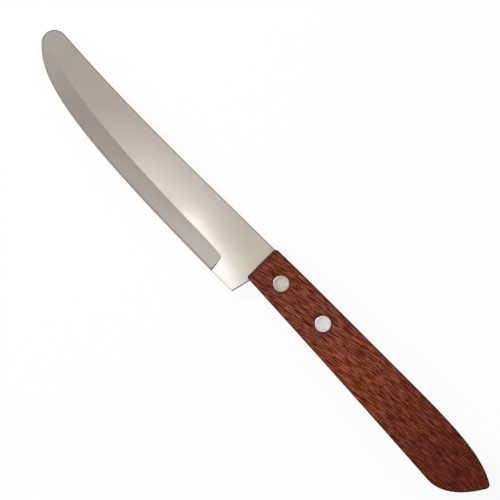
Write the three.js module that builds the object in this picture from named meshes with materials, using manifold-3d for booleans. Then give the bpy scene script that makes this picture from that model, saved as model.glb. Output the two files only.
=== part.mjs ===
// Round tip paring knife: a thin stamped blade whose half tang sits in a saw slot in a one-piece
// wooden handle, held by two flush rivets, each made of a sleeve and a pin.
//
// Millimetres, +Z up. The knife lies on its side: the tip points to -X, the butt to +X, the spine
// to +Y, and +Z comes out of one face of the blade. The drawing is made from a point on the line of
// the handle's back, level with the handle's front face, and centred at the end.

import * as THREE from 'three';
import { mergeVertices } from 'three/addons/utils/BufferGeometryUtils.js';
import Module from 'manifold-3d';

// Blade outline
const BLADE_LENGTH = 114.7; // tip to the handle's front face
const BLADE_HEIGHT = 21.95; // spine to cutting edge, at the heel
const BLADE_THICKNESS = 1.2;
const EDGE_BREAK = 0.35; // chamfer left by tumbling on the stamped edges
const SPINE_DROP = 0.8; // spine below the handle's back, where they meet
const SPINE_SAG = 0.52; // how far the spine dips before it rises to the tip
const SPINE_HEEL_REACH = 45.4; // length of the spine curve's handle at the heel
const SPINE_TIP_REACH = 34; // and at the tip
const TIP_RADIUS = 4.8;
const TIP_RISE = 1.23; // top of the tip above the spine at the handle
const TIP_UPSWEEP = 4; // degrees, slope at which the spine runs into the tip
const TIP_TURN = 42.7; // degrees that the tip's arc goes round past its foremost point
const BELLY_TIP_REACH = 13.3; // length of the belly curve's handle at the tip
const BELLY_HEEL_REACH = 85.4; // and at the heel
const HEEL_SETBACK = 0.2; // heel corner in front of the handle
const HEEL_RAKE = 14; // degrees that the back of the heel leans towards the handle
const HEEL_RADIUS = 0.5;

// Tang, hidden in the handle's slot
const TANG_LENGTH = 46; // behind the handle's front face
const TANG_INSET = 0.6; // lower edge of the tang above the handle's underside
const TANG_NOTCH_RADIUS = 0.8;
const TANG_END_RADIUS = 4;

// Hollow grind, alike on both faces
const GRIND_WIDTH = 6.5; // grind line to cutting edge
const GRIND_RUNOUT = 10; // length over which the grind fades out towards the tip
const GRIND_START = 0.15; // what is left of that fade at the tip itself
const GRIND_FOOT = 0.3; // steel left where the grind meets the edge bevel
const HOLLOW_DEPTH = 0.05; // how far the ground face dips below a flat one
const EDGE_BEVEL_WIDTH = 0.9;
const EDGE_THICKNESS = 0.1;
const PLUNGE_SETBACK = 10.9; // where the grind stops, in front of the handle
const PLUNGE_ARC_RADIUS = 21; // round end that the wheel leaves there
const PLUNGE_CORNER_RADIUS = 1.4;
const PLUNGE_SLANT = 45; // degrees that the wheel's shoulder leans, which widens the plunge downwards

// Handle
const HANDLE_LENGTH = 116.4;
const HANDLE_THICKNESS = 12.5;
const HANDLE_FRONT_HEIGHT = 15.2;
const HANDLE_BUTT_HEIGHT = 20.75; // at the end of the underside
const UNDERSIDE_LENGTH = 98.4; // front face to where the butt curves up
const UNDERSIDE_HOLLOW = 0.21; // how far the underside bows in between its ends
const BACK_LENGTH = 72.3; // straight part of the back
const POINT_DROP = 7.2; // butt's rounded point below the handle's back
const POINT_UPPER_ANGLE = 30.8; // degrees between the knife's length and the side above the point
const POINT_LOWER_ANGLE = 59.2; // and the side below it
const BACK_REACH = 21.8; // length of the upper butt curve's handle at the back
const POINT_UPPER_REACH = 9.8; // and at the point
const UNDERSIDE_REACH = 8.6; // length of the lower butt curve's handle at the underside
const POINT_LOWER_REACH = 6.2; // and at the point
const EDGE_ROUND = 0.8; // round-over of the handle's edges
const TOP_CORNER = 0.9; // corners of the flat side inside the round-over: front top,
const FOOT_CORNER = 0.2; // front foot
const POINT_CORNER = 0.8; // and the butt's point

// Saw slot in the handle
const SLOT_CLEARANCE = 0.15; // beside each face of the tang
const SLOT_END_GAP = 1; // between the tang's end and the slot's end
const SAW_RADIUS = 60; // of the saw that leaves the slot's round end

// Rivets
const FRONT_RIVET_SETBACK = 10.5; // behind the handle's front face
const FRONT_RIVET_DROP = 8; // below the handle's back
const REAR_RIVET_DROP = 7.6;
const RIVET_SPACING = 21.1; // along the handle
const RIVET_HEAD_DIAMETER = 6;
const RIVET_HEAD_THICKNESS = 1;
const RIVET_RIM_RADIUS = 0.15;
const RIVET_SLEEVE_DIAMETER = 4;
const RIVET_SLEEVE_FLOOR = 1; // solid length of the sleeve behind its head
const RIVET_PIN_DIAMETER = 2.6;
const RIVET_PIN_CHAMFER = 0.3;
const RIVET_CLEARANCE = 0.15; // round the heads, the sleeve and the pin

// Fineness of curves
const ARC_STEP = 15; // degrees, the longest step round an arc
const CHORD_ERROR = 0.03; // the farthest that a step may lie from the arc
const CURVE_STEPS = 20; // pieces in a free curve
const HOLLOW_STEPS = 3; // pieces across the hollow grind
const EDGE_ROUND_STEPS = 4;
const ROUND_SIDES = 32;

// How far a cutting tool reaches past what it cuts
const OVERRUN = 2;

// Values that follow from the sizes above
const RIVETS = [
  { name: 'front_rivet', x: FRONT_RIVET_SETBACK, y: -FRONT_RIVET_DROP },
  { name: 'rear_rivet', x: FRONT_RIVET_SETBACK + RIVET_SPACING, y: -REAR_RIVET_DROP },
];
const SLEEVE_HOLE_RADIUS = RIVET_SLEEVE_DIAMETER / 2 + RIVET_CLEARANCE;
const HEAD_HOLE_RADIUS = RIVET_HEAD_DIAMETER / 2 + RIVET_CLEARANCE;
const TOP_RADIUS = TOP_CORNER + EDGE_ROUND;
const FOOT_RADIUS = FOOT_CORNER + EDGE_ROUND;
const POINT_RADIUS = POINT_CORNER + EDGE_ROUND;
const HEEL_Y = -SPINE_DROP - BLADE_HEIGHT;

const { degToRad, lerp, radToDeg } = THREE.MathUtils;
const wasm = await Module();
wasm.setup();

// Drawing helpers: each gives a list of points in the plane of the blade

function point(x, y) {
  return new THREE.Vector2(x, y);
}

function pointAlong(start, degrees, distance) {
  const angle = degToRad(degrees);
  return point(start.x + distance * Math.cos(angle), start.y + distance * Math.sin(angle));
}

function arc(centre, radius, startDegrees, endDegrees) {
  const longestStep = Math.min(ARC_STEP, 2 * radToDeg(Math.acos(1 - CHORD_ERROR / radius)));
  const steps = Math.max(2, Math.ceil(Math.abs(endDegrees - startDegrees) / longestStep));
  const points = [];
  for (let step = 0; step <= steps; step += 1) {
    points.push(pointAlong(centre, lerp(startDegrees, endDegrees, step / steps), radius));
  }
  return points;
}

function freeCurve(start, startHandle, endHandle, end) {
  return new THREE.CubicBezierCurve(start, startHandle, endHandle, end).getPoints(CURVE_STEPS);
}

// The corner between two straight sides, eased to a radius
function easedCorner(before, corner, after, radius) {
  const back = before.clone().sub(corner).normalize();
  const ahead = after.clone().sub(corner).normalize();
  const halfAngle = back.angleTo(ahead) / 2;
  const bisector = back.clone().add(ahead).normalize();
  const centre = corner.clone().addScaledVector(bisector, radius / Math.sin(halfAngle));
  const start = corner.clone().addScaledVector(back, radius / Math.tan(halfAngle));
  const startDegrees = radToDeg(Math.atan2(start.y - centre.y, start.x - centre.x));
  const turn = Math.sign(ahead.cross(back)) * (180 - 2 * radToDeg(halfAngle));
  return arc(centre, radius, startDegrees, startDegrees + turn);
}

// Runs of points joined into one outline, without the points that two runs share
function joinRuns(...runs) {
  const tooClose = 1e-4;
  const outline = [];
  for (const next of runs.flat()) {
    if (outline.length === 0 || next.distanceTo(outline.at(-1)) > tooClose) {
      outline.push(next);
    }
  }
  if (outline[0].distanceTo(outline.at(-1)) < tooClose) {
    outline.pop();
  }
  return outline;
}

// Solid helpers

function toSolid(geometry) {
  const bare = geometry.clone();
  bare.deleteAttribute('normal');
  bare.deleteAttribute('uv');
  const merged = mergeVertices(bare, 1e-5);
  return new wasm.Manifold(new wasm.Mesh({
    numProp: 3,
    vertProperties: new Float32Array(merged.attributes.position.array),
    triVerts: new Uint32Array(merged.index.array),
  }));
}

function toGeometry(solid) {
  const mesh = solid.getMesh();
  const geometry = new THREE.BufferGeometry();
  geometry.setAttribute('position', new THREE.BufferAttribute(mesh.vertProperties, 3));
  geometry.setIndex(new THREE.BufferAttribute(mesh.triVerts, 1));
  geometry.computeVertexNormals();
  return geometry;
}

// A plate of an outline, centred on the plane of the blade, with its edges eased by a radius
function plate(shape, thickness, easing, easingSteps) {
  const geometry = new THREE.ExtrudeGeometry(shape, {
    depth: thickness - 2 * easing,
    bevelEnabled: easing > 0,
    bevelThickness: easing,
    bevelSize: easing,
    bevelOffset: -easing,
    bevelSegments: easingSteps,
  });
  return geometry.translate(0, 0, easing - thickness / 2);
}

// A round bar along Z, from one height to another
function bar(x, y, radius, bottom, top) {
  const geometry = new THREE.CylinderGeometry(radius, radius, top - bottom, ROUND_SIDES);
  return geometry.rotateX(Math.PI / 2).translate(x, y, (bottom + top) / 2);
}

// A skin through sections that all have the same number of points, closed at both ends
function loft(sections, flatSection) {
  const count = flatSection.length;
  const positions = sections.flat().flatMap((corner) => corner.toArray());
  const index = [];
  for (let row = 0; row + 1 < sections.length; row += 1) {
    for (let column = 0; column < count; column += 1) {
      const near = row * count + column;
      const nearNext = row * count + (column + 1) % count;
      index.push(near, near + count, nearNext, nearNext, near + count, nearNext + count);
    }
  }
  const last = (sections.length - 1) * count;
  for (const [a, b, c] of THREE.ShapeUtils.triangulateShape(flatSection, [])) {
    index.push(a, b, c, last + a, last + c, last + b);
  }
  const geometry = new THREE.BufferGeometry();
  geometry.setAttribute('position', new THREE.Float32BufferAttribute(positions, 3));
  geometry.setIndex(index);
  return geometry;
}

// Blade: a blank stamped from sheet, then hollow ground on both faces

// The handle's underside, a chord with a slight bow, which the tang follows
function undersideY(x) {
  const share = x / UNDERSIDE_LENGTH;
  const chord = -lerp(HANDLE_FRONT_HEIGHT, HANDLE_BUTT_HEIGHT, share);
  return chord + 4 * UNDERSIDE_HOLLOW * share * (1 - share);
}

// The cutting edge, from the tip's foremost point to the heel
function cuttingEdge(tipCentre, bellyEnd) {
  const lowerTip = arc(tipCentre, TIP_RADIUS, 180, 180 + TIP_TURN);
  const bellyStart = lowerTip.at(-1);
  const belly = freeCurve(
    bellyStart,
    pointAlong(bellyStart, 270 + TIP_TURN, BELLY_TIP_REACH),
    point(bellyEnd.x - BELLY_HEEL_REACH, bellyEnd.y),
    bellyEnd,
  );
  return joinRuns(lowerTip, belly);
}

// The back of the heel leans in until it meets the tang's lower edge
function notchCorner(heel) {
  const rise = undersideY(0) + TANG_INSET - heel.y;
  const x = heel.x + rise * Math.tan(degToRad(HEEL_RAKE));
  return point(x, undersideY(x) + TANG_INSET);
}

function bladeRuns() {
  const shoulder = point(0, -SPINE_DROP);
  const tipCentre = point(TIP_RADIUS - BLADE_LENGTH, TIP_RISE - SPINE_DROP - TIP_RADIUS);
  const upperTip = arc(tipCentre, TIP_RADIUS, 90 - TIP_UPSWEEP, 180);
  const spine = freeCurve(
    shoulder,
    point(-SPINE_HEEL_REACH, -SPINE_DROP - SPINE_SAG),
    pointAlong(upperTip[0], -TIP_UPSWEEP, SPINE_TIP_REACH),
    upperTip[0],
  );
  const heel = point(-HEEL_SETBACK, HEEL_Y);
  const notch = notchCorner(heel);
  const tangTop = point(TANG_LENGTH, -SPINE_DROP);
  const tangFoot = point(TANG_LENGTH, undersideY(TANG_LENGTH) + TANG_INSET);
  const heelCorner = easedCorner(point(heel.x - BELLY_HEEL_REACH, heel.y), heel, notch, HEEL_RADIUS);
  const edge = cuttingEdge(tipCentre, heelCorner[0]);
  const tang = [
    ...easedCorner(heel, notch, tangFoot, TANG_NOTCH_RADIUS),
    ...easedCorner(notch, tangFoot, tangTop, TANG_END_RADIUS),
    ...easedCorner(tangFoot, tangTop, shoulder, TANG_END_RADIUS),
  ];
  return { outline: joinRuns(spine, upperTip, edge, heelCorner, tang), edge };
}

function bladeBlank(outline) {
  const shape = new THREE.Shape(outline);
  for (const { x, y } of RIVETS) {
    const hole = new THREE.Path();
    hole.setFromPoints(joinRuns(arc(point(x, y), SLEEVE_HOLE_RADIUS, 360, 0)));
    shape.holes.push(hole);
  }
  return toSolid(plate(shape, BLADE_THICKNESS, EDGE_BREAK, 1));
}

// Section of what the wheel takes off one face: x is the distance in from the cutting edge and
// y the depth below the face, with the hollow grind first and then the edge bevel
function grindSection() {
  const footDepth = (BLADE_THICKNESS - GRIND_FOOT) / 2;
  const edgeDepth = (BLADE_THICKNESS - EDGE_THICKNESS) / 2;
  const lead = GRIND_WIDTH / HOLLOW_STEPS;
  const entrySlope = (footDepth + 4 * HOLLOW_DEPTH) / (GRIND_WIDTH - EDGE_BEVEL_WIDTH);
  const section = [point(GRIND_WIDTH + lead, -lead * entrySlope)];
  for (let step = 0; step <= HOLLOW_STEPS; step += 1) {
    const share = step / HOLLOW_STEPS;
    const dip = 4 * HOLLOW_DEPTH * share * (1 - share);
    section.push(point(lerp(GRIND_WIDTH, EDGE_BEVEL_WIDTH, share), footDepth * share + dip));
  }
  section.push(point(0, edgeDepth));
  return section;
}

// A closed ring round what the wheel takes off at one place along the edge
function grindRing(share) {
  const ground = grindSection().map((corner) => corner.multiplyScalar(share));
  return [
    ...ground,
    point(-OVERRUN, ground.at(-1).y),
    point(-OVERRUN, -OVERRUN),
    point(ground[0].x, -OVERRUN),
  ];
}

// The wheel's cut on the upper face. Towards the tip the section shrinks, so that the ground
// face keeps its angle while the grind line runs out.
function grindCut(edge) {
  const faceZ = BLADE_THICKNESS / 2;
  const rings = [];
  let run = GRIND_START;
  edge.forEach((edgePoint, station) => {
    const before = edge[Math.max(0, station - 1)];
    const after = edge[Math.min(edge.length - 1, station + 1)];
    const direction = after.clone().sub(before).normalize();
    const inward = point(-direction.y, direction.x);
    run += edgePoint.distanceTo(before);
    const ring = grindRing(1 - Math.exp(-run / GRIND_RUNOUT));
    rings.push(ring.map(({ x, y }) => {
      const place = edgePoint.clone().addScaledVector(inward, x);
      return new THREE.Vector3(place.x, place.y, faceZ - y);
    }));
  });
  return toSolid(loft(rings, grindRing(1)));
}

// What limits the ground area: a block that ends in a round plunge in front of the handle. Its end
// leans, so that the plunge is a slope that starts at the face and widens with the depth of the grind.
function grindFootprint() {
  const foot = point(-PLUNGE_SETBACK, HEEL_Y);
  const centre = point(foot.x - PLUNGE_ARC_RADIUS, foot.y);
  const topAngle = radToDeg(Math.asin(GRIND_WIDTH / PLUNGE_ARC_RADIUS));
  const top = pointAlong(centre, topAngle, PLUNGE_ARC_RADIUS);
  const easing = 3 * PLUNGE_CORNER_RADIUS;
  const plunge = arc(centre, PLUNGE_ARC_RADIUS, -topAngle / 2, topAngle / 2);
  const left = -BLADE_LENGTH - OVERRUN;
  const high = OVERRUN;
  const low = HEEL_Y - 2 * OVERRUN;
  const outline = joinRuns(
    [point(left, low), point(plunge[0].x, low)],
    plunge,
    easedCorner(plunge.at(-1), top, point(top.x - easing, top.y), PLUNGE_CORNER_RADIUS),
    [point(top.x - easing, top.y), point(top.x - easing, high), point(left, high)],
  );
  const faceZ = BLADE_THICKNESS / 2;
  const lean = new THREE.Matrix4().makeShear(0, 0, 0, 0, Math.tan(degToRad(PLUNGE_SLANT)), 0);
  const block = plate(new THREE.Shape(outline), BLADE_THICKNESS + 2 * OVERRUN, 0, 0);
  return toSolid(block.translate(0, 0, -faceZ).applyMatrix4(lean).translate(0, 0, faceZ));
}

function makeBlade() {
  const { outline, edge } = bladeRuns();
  const upperCut = grindCut(edge).intersect(grindFootprint());
  const lowerCut = upperCut.mirror([0, 0, 1]);
  return toGeometry(bladeBlank(outline).subtract(upperCut).subtract(lowerCut));
}

// Handle: one piece of wood, tapered in plan, with rounded edges and a leaf-shaped butt

function undersideRun(startX) {
  const points = [];
  for (let step = 1; step <= CURVE_STEPS; step += 1) {
    const x = lerp(startX, UNDERSIDE_LENGTH, step / CURVE_STEPS);
    points.push(point(x, undersideY(x)));
  }
  return points;
}

function handleOutline() {
  const frontTop = point(0, 0);
  const frontFoot = point(0, undersideY(0));
  const backEnd = point(BACK_LENGTH, 0);
  const footSide = point(FOOT_RADIUS, undersideY(FOOT_RADIUS));
  const footCorner = easedCorner(frontTop, frontFoot, footSide, FOOT_RADIUS);
  const underside = undersideRun(footCorner.at(-1).x);
  const undersideEnd = underside.at(-1);
  const undersideWay = undersideEnd.clone().sub(underside.at(-2));
  const pointCentre = point(HANDLE_LENGTH - POINT_RADIUS, -POINT_DROP);
  const pointArc = arc(pointCentre, POINT_RADIUS, POINT_LOWER_ANGLE - 90, 90 - POINT_UPPER_ANGLE);
  const lowerButt = freeCurve(
    undersideEnd,
    undersideEnd.clone().add(undersideWay.setLength(UNDERSIDE_REACH)),
    pointAlong(pointArc[0], 180 + POINT_LOWER_ANGLE, POINT_LOWER_REACH),
    pointArc[0],
  );
  const upperButt = freeCurve(
    pointArc.at(-1),
    pointAlong(pointArc.at(-1), 180 - POINT_UPPER_ANGLE, POINT_UPPER_REACH),
    point(BACK_LENGTH + BACK_REACH, 0),
    backEnd,
  );
  return joinRuns(
    easedCorner(backEnd, frontTop, frontFoot, TOP_RADIUS),
    footCorner,
    underside,
    lowerButt,
    pointArc,
    upperButt,
  );
}

function slotCut() {
  const end = TANG_LENGTH + SLOT_END_GAP;
  const high = OVERRUN;
  const low = undersideY(end) - OVERRUN;
  const centre = point(end - SAW_RADIUS, (high + low) / 2);
  const spread = radToDeg(Math.asin((high - low) / 2 / SAW_RADIUS));
  const outline = joinRuns(
    [point(-OVERRUN, high), point(-OVERRUN, low)],
    arc(centre, SAW_RADIUS, -spread, spread),
  );
  return toSolid(plate(new THREE.Shape(outline), BLADE_THICKNESS + 2 * SLOT_CLEARANCE, 0, 0));
}

function makeHandle() {
  const side = HANDLE_THICKNESS / 2;
  const seat = side - RIVET_HEAD_THICKNESS - RIVET_CLEARANCE;
  const shape = new THREE.Shape(handleOutline());
  let handle = toSolid(plate(shape, HANDLE_THICKNESS, EDGE_ROUND, EDGE_ROUND_STEPS));
  handle = handle.subtract(slotCut());
  for (const { x, y } of RIVETS) {
    handle = handle.subtract(toSolid(bar(x, y, SLEEVE_HOLE_RADIUS, -side - OVERRUN, side + OVERRUN)));
    handle = handle.subtract(toSolid(bar(x, y, HEAD_HOLE_RADIUS, seat, side + OVERRUN)));
    handle = handle.subtract(toSolid(bar(x, y, HEAD_HOLE_RADIUS, -side - OVERRUN, -seat)));
  }
  return toGeometry(handle);
}

// Rivets: turned profiles with the head's outer face at height 0 and the shank rising from it

function headProfile() {
  const radius = RIVET_HEAD_DIAMETER / 2;
  const rimCentre = point(radius - RIVET_RIM_RADIUS, RIVET_RIM_RADIUS);
  return [
    point(0, 0),
    ...arc(rimCentre, RIVET_RIM_RADIUS, 270, 360),
    point(radius, RIVET_HEAD_THICKNESS),
  ];
}

function turned(profile) {
  return new THREE.LatheGeometry(profile, ROUND_SIDES).rotateX(Math.PI / 2);
}

function makeSleeve() {
  const outer = RIVET_SLEEVE_DIAMETER / 2;
  const inner = RIVET_PIN_DIAMETER / 2 + RIVET_CLEARANCE;
  const floor = RIVET_HEAD_THICKNESS + RIVET_SLEEVE_FLOOR;
  const mouth = HANDLE_THICKNESS - RIVET_HEAD_THICKNESS - RIVET_CLEARANCE;
  return turned([
    ...headProfile(),
    point(outer, RIVET_HEAD_THICKNESS),
    point(outer, mouth),
    point(inner, mouth),
    point(inner, floor),
    point(0, floor),
  ]);
}

function makePin() {
  const radius = RIVET_PIN_DIAMETER / 2;
  const sleeveFloor = RIVET_HEAD_THICKNESS + RIVET_SLEEVE_FLOOR;
  const tip = HANDLE_THICKNESS - sleeveFloor - RIVET_CLEARANCE;
  return turned([
    ...headProfile(),
    point(radius, RIVET_HEAD_THICKNESS),
    point(radius, tip - RIVET_PIN_CHAMFER),
    point(radius - RIVET_PIN_CHAMFER, tip),
    point(0, tip),
  ]);
}

// Finishes

const STEEL = new THREE.MeshStandardMaterial({ color: 0xbdb5ac, roughness: 0.35, metalness: 1 });
const WOOD = new THREE.MeshStandardMaterial({ color: 0x73341e, roughness: 0.55, metalness: 0 });
const ALUMINIUM = new THREE.MeshStandardMaterial({ color: 0xc8c6c3, roughness: 0.4, metalness: 1 });

// Assembly

function addPiece(group, name, geometry, material) {
  const piece = new THREE.Mesh(geometry, material);
  piece.name = name;
  group.add(piece);
  return piece;
}

const drawing = new THREE.Group();
addPiece(drawing, 'blade', makeBlade(), STEEL);
addPiece(drawing, 'handle', makeHandle(), WOOD);
for (const { name, x, y } of RIVETS) {
  const sleeve = addPiece(drawing, `${name}_sleeve`, makeSleeve(), ALUMINIUM);
  sleeve.position.set(x, y, -HANDLE_THICKNESS / 2);
  const pin = addPiece(drawing, `${name}_pin`, makePin(), ALUMINIUM);
  pin.rotation.x = Math.PI;
  pin.position.set(x, y, HANDLE_THICKNESS / 2);
}

// The origin is under the middle of the knife, on the surface that it lies on
const extent = new THREE.Box3().setFromObject(drawing, true);
const middle = extent.getCenter(new THREE.Vector3());
drawing.position.set(-middle.x, -middle.y, -extent.min.z);
const knife = new THREE.Group();
knife.add(drawing);

export default knife;
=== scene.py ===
# %% [markdown]
# # A round tip paring knife
# This lesson dresses a small kitchen knife for its picture. The knife is a thin steel blade whose
# tang sits in a saw slot in a one-piece wooden handle, held by two flush rivets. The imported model
# comes in first, as a fixed frame in metres, and each piece made here takes its place from it.

# %% Load the frame
import contextlib
import math

import bmesh
import bpy
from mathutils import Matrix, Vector
from mathutils.geometry import interpolate_bezier


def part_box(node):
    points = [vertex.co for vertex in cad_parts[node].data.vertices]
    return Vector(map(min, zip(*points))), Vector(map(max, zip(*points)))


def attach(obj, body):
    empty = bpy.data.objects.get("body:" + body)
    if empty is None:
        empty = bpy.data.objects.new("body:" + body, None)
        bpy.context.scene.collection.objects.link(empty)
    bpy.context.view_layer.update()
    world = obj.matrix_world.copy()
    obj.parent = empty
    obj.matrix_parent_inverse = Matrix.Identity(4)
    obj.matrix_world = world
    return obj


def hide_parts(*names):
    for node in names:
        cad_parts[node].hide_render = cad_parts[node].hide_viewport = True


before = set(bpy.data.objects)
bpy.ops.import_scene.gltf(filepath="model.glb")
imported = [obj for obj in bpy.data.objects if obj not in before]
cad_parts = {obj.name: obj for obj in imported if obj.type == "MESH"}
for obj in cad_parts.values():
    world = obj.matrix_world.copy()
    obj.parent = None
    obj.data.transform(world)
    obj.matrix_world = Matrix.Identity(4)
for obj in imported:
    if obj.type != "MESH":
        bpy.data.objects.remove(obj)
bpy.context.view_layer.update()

print("pieces in the frame:", sorted(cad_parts))

# %% [markdown]
# A knife is drawn most easily from one corner, as on paper. The top of the handle's front face is a
# good one, because blade and handle meet there. The frame gives that corner, so nothing is fitted
# by eye: a helper turns millimetres on the drawing into a place in the frame.

# %% Drawing corner
MM = 0.001

handle_low, handle_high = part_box("handle")
MIDDLE = (handle_low.z + handle_high.z) / 2
HANDLE_THICKNESS = (handle_high.z - handle_low.z) / MM


def at(along, above):
    """A place from millimetres behind the handle's front face and above its back."""
    return Vector((handle_low.x + along * MM, handle_high.y + above * MM, MIDDLE))


print("drawing corner:", [round(value, 5) for value in at(0, 0)])

# %% [markdown]
# The camera looks straight down on the flat of the blade and is turned by an eighth of a circle, so
# that the knife lies across the picture from the upper left to the lower right. A long lens from
# far off keeps the outline free of perspective. The lens follows from the width that the picture
# takes in and from the camera's height.

# %% Camera
VIEW_WIDTH = 182.3 * MM
VIEW_CENTRE = at(-6.2, -7.35)
VIEW_TURN = 45
CAMERA_HEIGHT = 4
SENSOR_WIDTH = 36

bpy.ops.object.select_all(action="DESELECT")
bpy.ops.object.camera_add(
    location=VIEW_CENTRE + Vector((0, 0, CAMERA_HEIGHT)),
    rotation=(0, 0, math.radians(VIEW_TURN)),
)
camera = bpy.context.object
camera.data.sensor_width = SENSOR_WIDTH
camera.data.lens = SENSOR_WIDTH * CAMERA_HEIGHT / VIEW_WIDTH
bpy.context.scene.camera = camera
bpy.context.scene.view_settings.view_transform = "Standard"
print("lens:", round(camera.data.lens), "mm")

# %% [markdown]
# Every finish below is a small network of shader nodes. Written out node by node it would be hard
# to read, so two helpers stand in for the node editor. A wire wraps one output socket, and sums and
# products of wires add Math nodes. A network has one method that adds any other node from its type,
# its settings and its inputs.


# %% Shader helpers
class Wire:
    """One output socket. Arithmetic on it adds Math nodes to its network."""

    def __init__(self, network, socket):
        self.network = network
        self.socket = socket

    def math(self, operation, *values):
        return self.network.node("ShaderNodeMath", {"operation": operation}, dict(enumerate(values)))

    def __add__(self, other):
        return self.math("ADD", self, other)

    def __sub__(self, other):
        return self.math("SUBTRACT", self, other)

    def __rsub__(self, other):
        return self.math("SUBTRACT", other, self)

    def __mul__(self, other):
        return self.math("MULTIPLY", self, other)

    def __abs__(self):
        return self.math("ABSOLUTE", self)

    def larger(self, other):
        return self.math("MAXIMUM", self, other)

    __radd__ = __add__
    __rmul__ = __mul__


class Network:
    """The node tree of a finish or of the world."""

    def __init__(self, tree):
        self.tree = tree
        tree.nodes.clear()

    def node(self, kind, settings, inputs, output=0):
        """Add a node: its settings first, then the values or wires of its input sockets."""
        made = self.tree.nodes.new(kind)
        for name, value in settings.items():
            setattr(made, name, value)
        for name, value in inputs.items():
            if isinstance(value, Wire):
                self.tree.links.new(value.socket, made.inputs[name])
            else:
                made.inputs[name].default_value = value
        return Wire(self, made.outputs[output]) if made.outputs else made

    def part(self, place, axis):
        """One number of a vector."""
        return self.node("ShaderNodeSeparateXYZ", {}, {0: place}, axis)

    def noise(self, place, detail, roughness=0.5):
        sockets = {"Vector": place, "Scale": 1.0, "Detail": detail, "Roughness": roughness}
        return self.node("ShaderNodeTexNoise", {}, sockets)

    def stretch(self, place, lengths):
        """Coordinates measured in a length of its own along each axis."""
        sockets = {0: place, 1: [1 / length for length in lengths]}
        return self.node("ShaderNodeVectorMath", {"operation": "MULTIPLY"}, sockets)

    def ease(self, value, start, end):
        """A soft step from 0 at one value to 1 at another."""
        sockets = {"Value": value, "From Min": start, "From Max": end}
        return self.node("ShaderNodeMapRange", {"interpolation_type": "SMOOTHSTEP"}, sockets)

    def blend(self, share, first, second, way="MIX"):
        """Two colours mixed by a share from 0 to 1."""
        settings = {"data_type": "RGBA", "blend_type": way}
        return self.node("ShaderNodeMix", settings, {0: share, 6: first, 7: second}, 2)

    def surface(self, height, strength, depth, sockets):
        """The last nodes of a finish: a bump, the shader with its other sockets, and the output."""
        bump = self.node("ShaderNodeBump", {}, {"Strength": strength, "Distance": depth, "Height": height})
        shader = self.node("ShaderNodeBsdfPrincipled", {}, {**sockets, "Normal": bump})
        self.node("ShaderNodeOutputMaterial", {}, {"Surface": shader})


def new_finish(name):
    material = bpy.data.materials.new(name)
    material.use_nodes = True
    return material, Network(material.node_tree)


# %% [markdown]
# The light is that of a small studio. A pale world fills the shadows. Polished things show what is
# around them, so the world that the steel mirrors is a calm grey overhead, white at the horizon
# beside the knife and mid-grey beyond its ends, as with grey cards on a photo table. An even white
# world would be simpler, but the steel would then look like paper.

# %% World
AMBIENT_LEVEL = 0.55
OVERHEAD_GREY = 0.66
OVERHEAD_SPAN = (0.55, 0.9)
CARD_GREY = 0.5
CARD_SPAN = (0.4, 0.75)
WHITE = (1.0, 1.0, 1.0, 1.0)


def seen_directly(network):
    """1 for rays from the camera, or mirrored or let through on their way, otherwise 0."""
    seen = network.node("ShaderNodeLightPath", {}, {}, "Is Camera Ray")
    for ray in ("Is Glossy Ray", "Is Transmission Ray"):
        seen = seen.larger(network.node("ShaderNodeLightPath", {}, {}, ray))
    return seen


def light_world():
    world = bpy.data.worlds.new("studio")
    bpy.context.scene.world = world
    world.use_nodes = True
    network = Network(world.node_tree)
    direction = network.node("ShaderNodeTexCoord", {}, {}, "Generated")
    overhead = network.ease(network.part(direction, "Z"), *OVERHEAD_SPAN) * (1 - OVERHEAD_GREY)
    cards = network.ease(abs(network.part(direction, "X")), *CARD_SPAN) * (1 - CARD_GREY)
    mirrored = network.node("ShaderNodeLightPath", {}, {}, "Is Glossy Ray")
    grey = 1 - mirrored * overhead.larger(cards)
    level = AMBIENT_LEVEL + seen_directly(network) * (1 - AMBIENT_LEVEL)
    background = network.node("ShaderNodeBackground", {}, {"Color": WHITE, "Strength": grey * level})
    network.node("ShaderNodeOutputWorld", {}, {"Surface": background})


light_world()
print("world: ambient", AMBIENT_LEVEL, "and overhead grey", OVERHEAD_GREY)

# %% [markdown]
# A wide lamp stands beyond the tip. Four small ones hang over the knife, where the steel mirrors
# them: one close to the heel for the brightest glint, one higher for a broad sheen, one far up that
# fades towards the tip, and one to the side, which only the sloping ground face mirrors. The level is
# plain: a white card under these lamps would just be white.

# %% Lamps
KEY_POWER = 11
KEY_SIZE = 0.7
KEY_PLACE = Vector((-0.95, -0.1, 0.85))
FILL_POWER = 0.0065
FILL_SIZE = 0.08
FILL_PLACE = at(10, -10) + Vector((0, 0, 0.6))
BEVEL_POWER = 0.0078
BEVEL_SIZE = 0.06
BEVEL_PLACE = at(-24, -93) + Vector((0, 0, 0.447))
SHEEN_COLOUR = (0.84, 0.85, 1.0)
SHEEN_POWER = 0.0051
SHEEN_LENGTH = 0.036
SHEEN_WIDTH = 0.004
SHEEN_PLACE = at(-47, -22) + Vector((0, 0, 0.236))
GLINT_COLOUR = (0.78, 0.88, 1.0)
GLINT_POWER = 0.0019
GLINT_LENGTH = 0.035
GLINT_WIDTH = 0.004
GLINT_TURN = (0, 0, math.radians(-10))
GLINT_PLACE = at(-15, -19.5) + Vector((0, 0, 0.066))


def hang_lamp(name, place, length, width, power, turn=(0, 0, 0), colour=(1, 1, 1)):
    """A flat lamp that looks down unless it is turned, and that the camera doesn't see."""
    bpy.ops.object.light_add(type="AREA", location=place, rotation=turn)
    lamp = bpy.context.object
    lamp.name = name
    lamp.data.shape = "RECTANGLE"
    lamp.data.size = length
    lamp.data.size_y = width
    lamp.data.energy = power
    lamp.data.color = colour
    lamp.visible_camera = False
    print(name, "at", [round(value, 3) for value in place])


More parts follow.
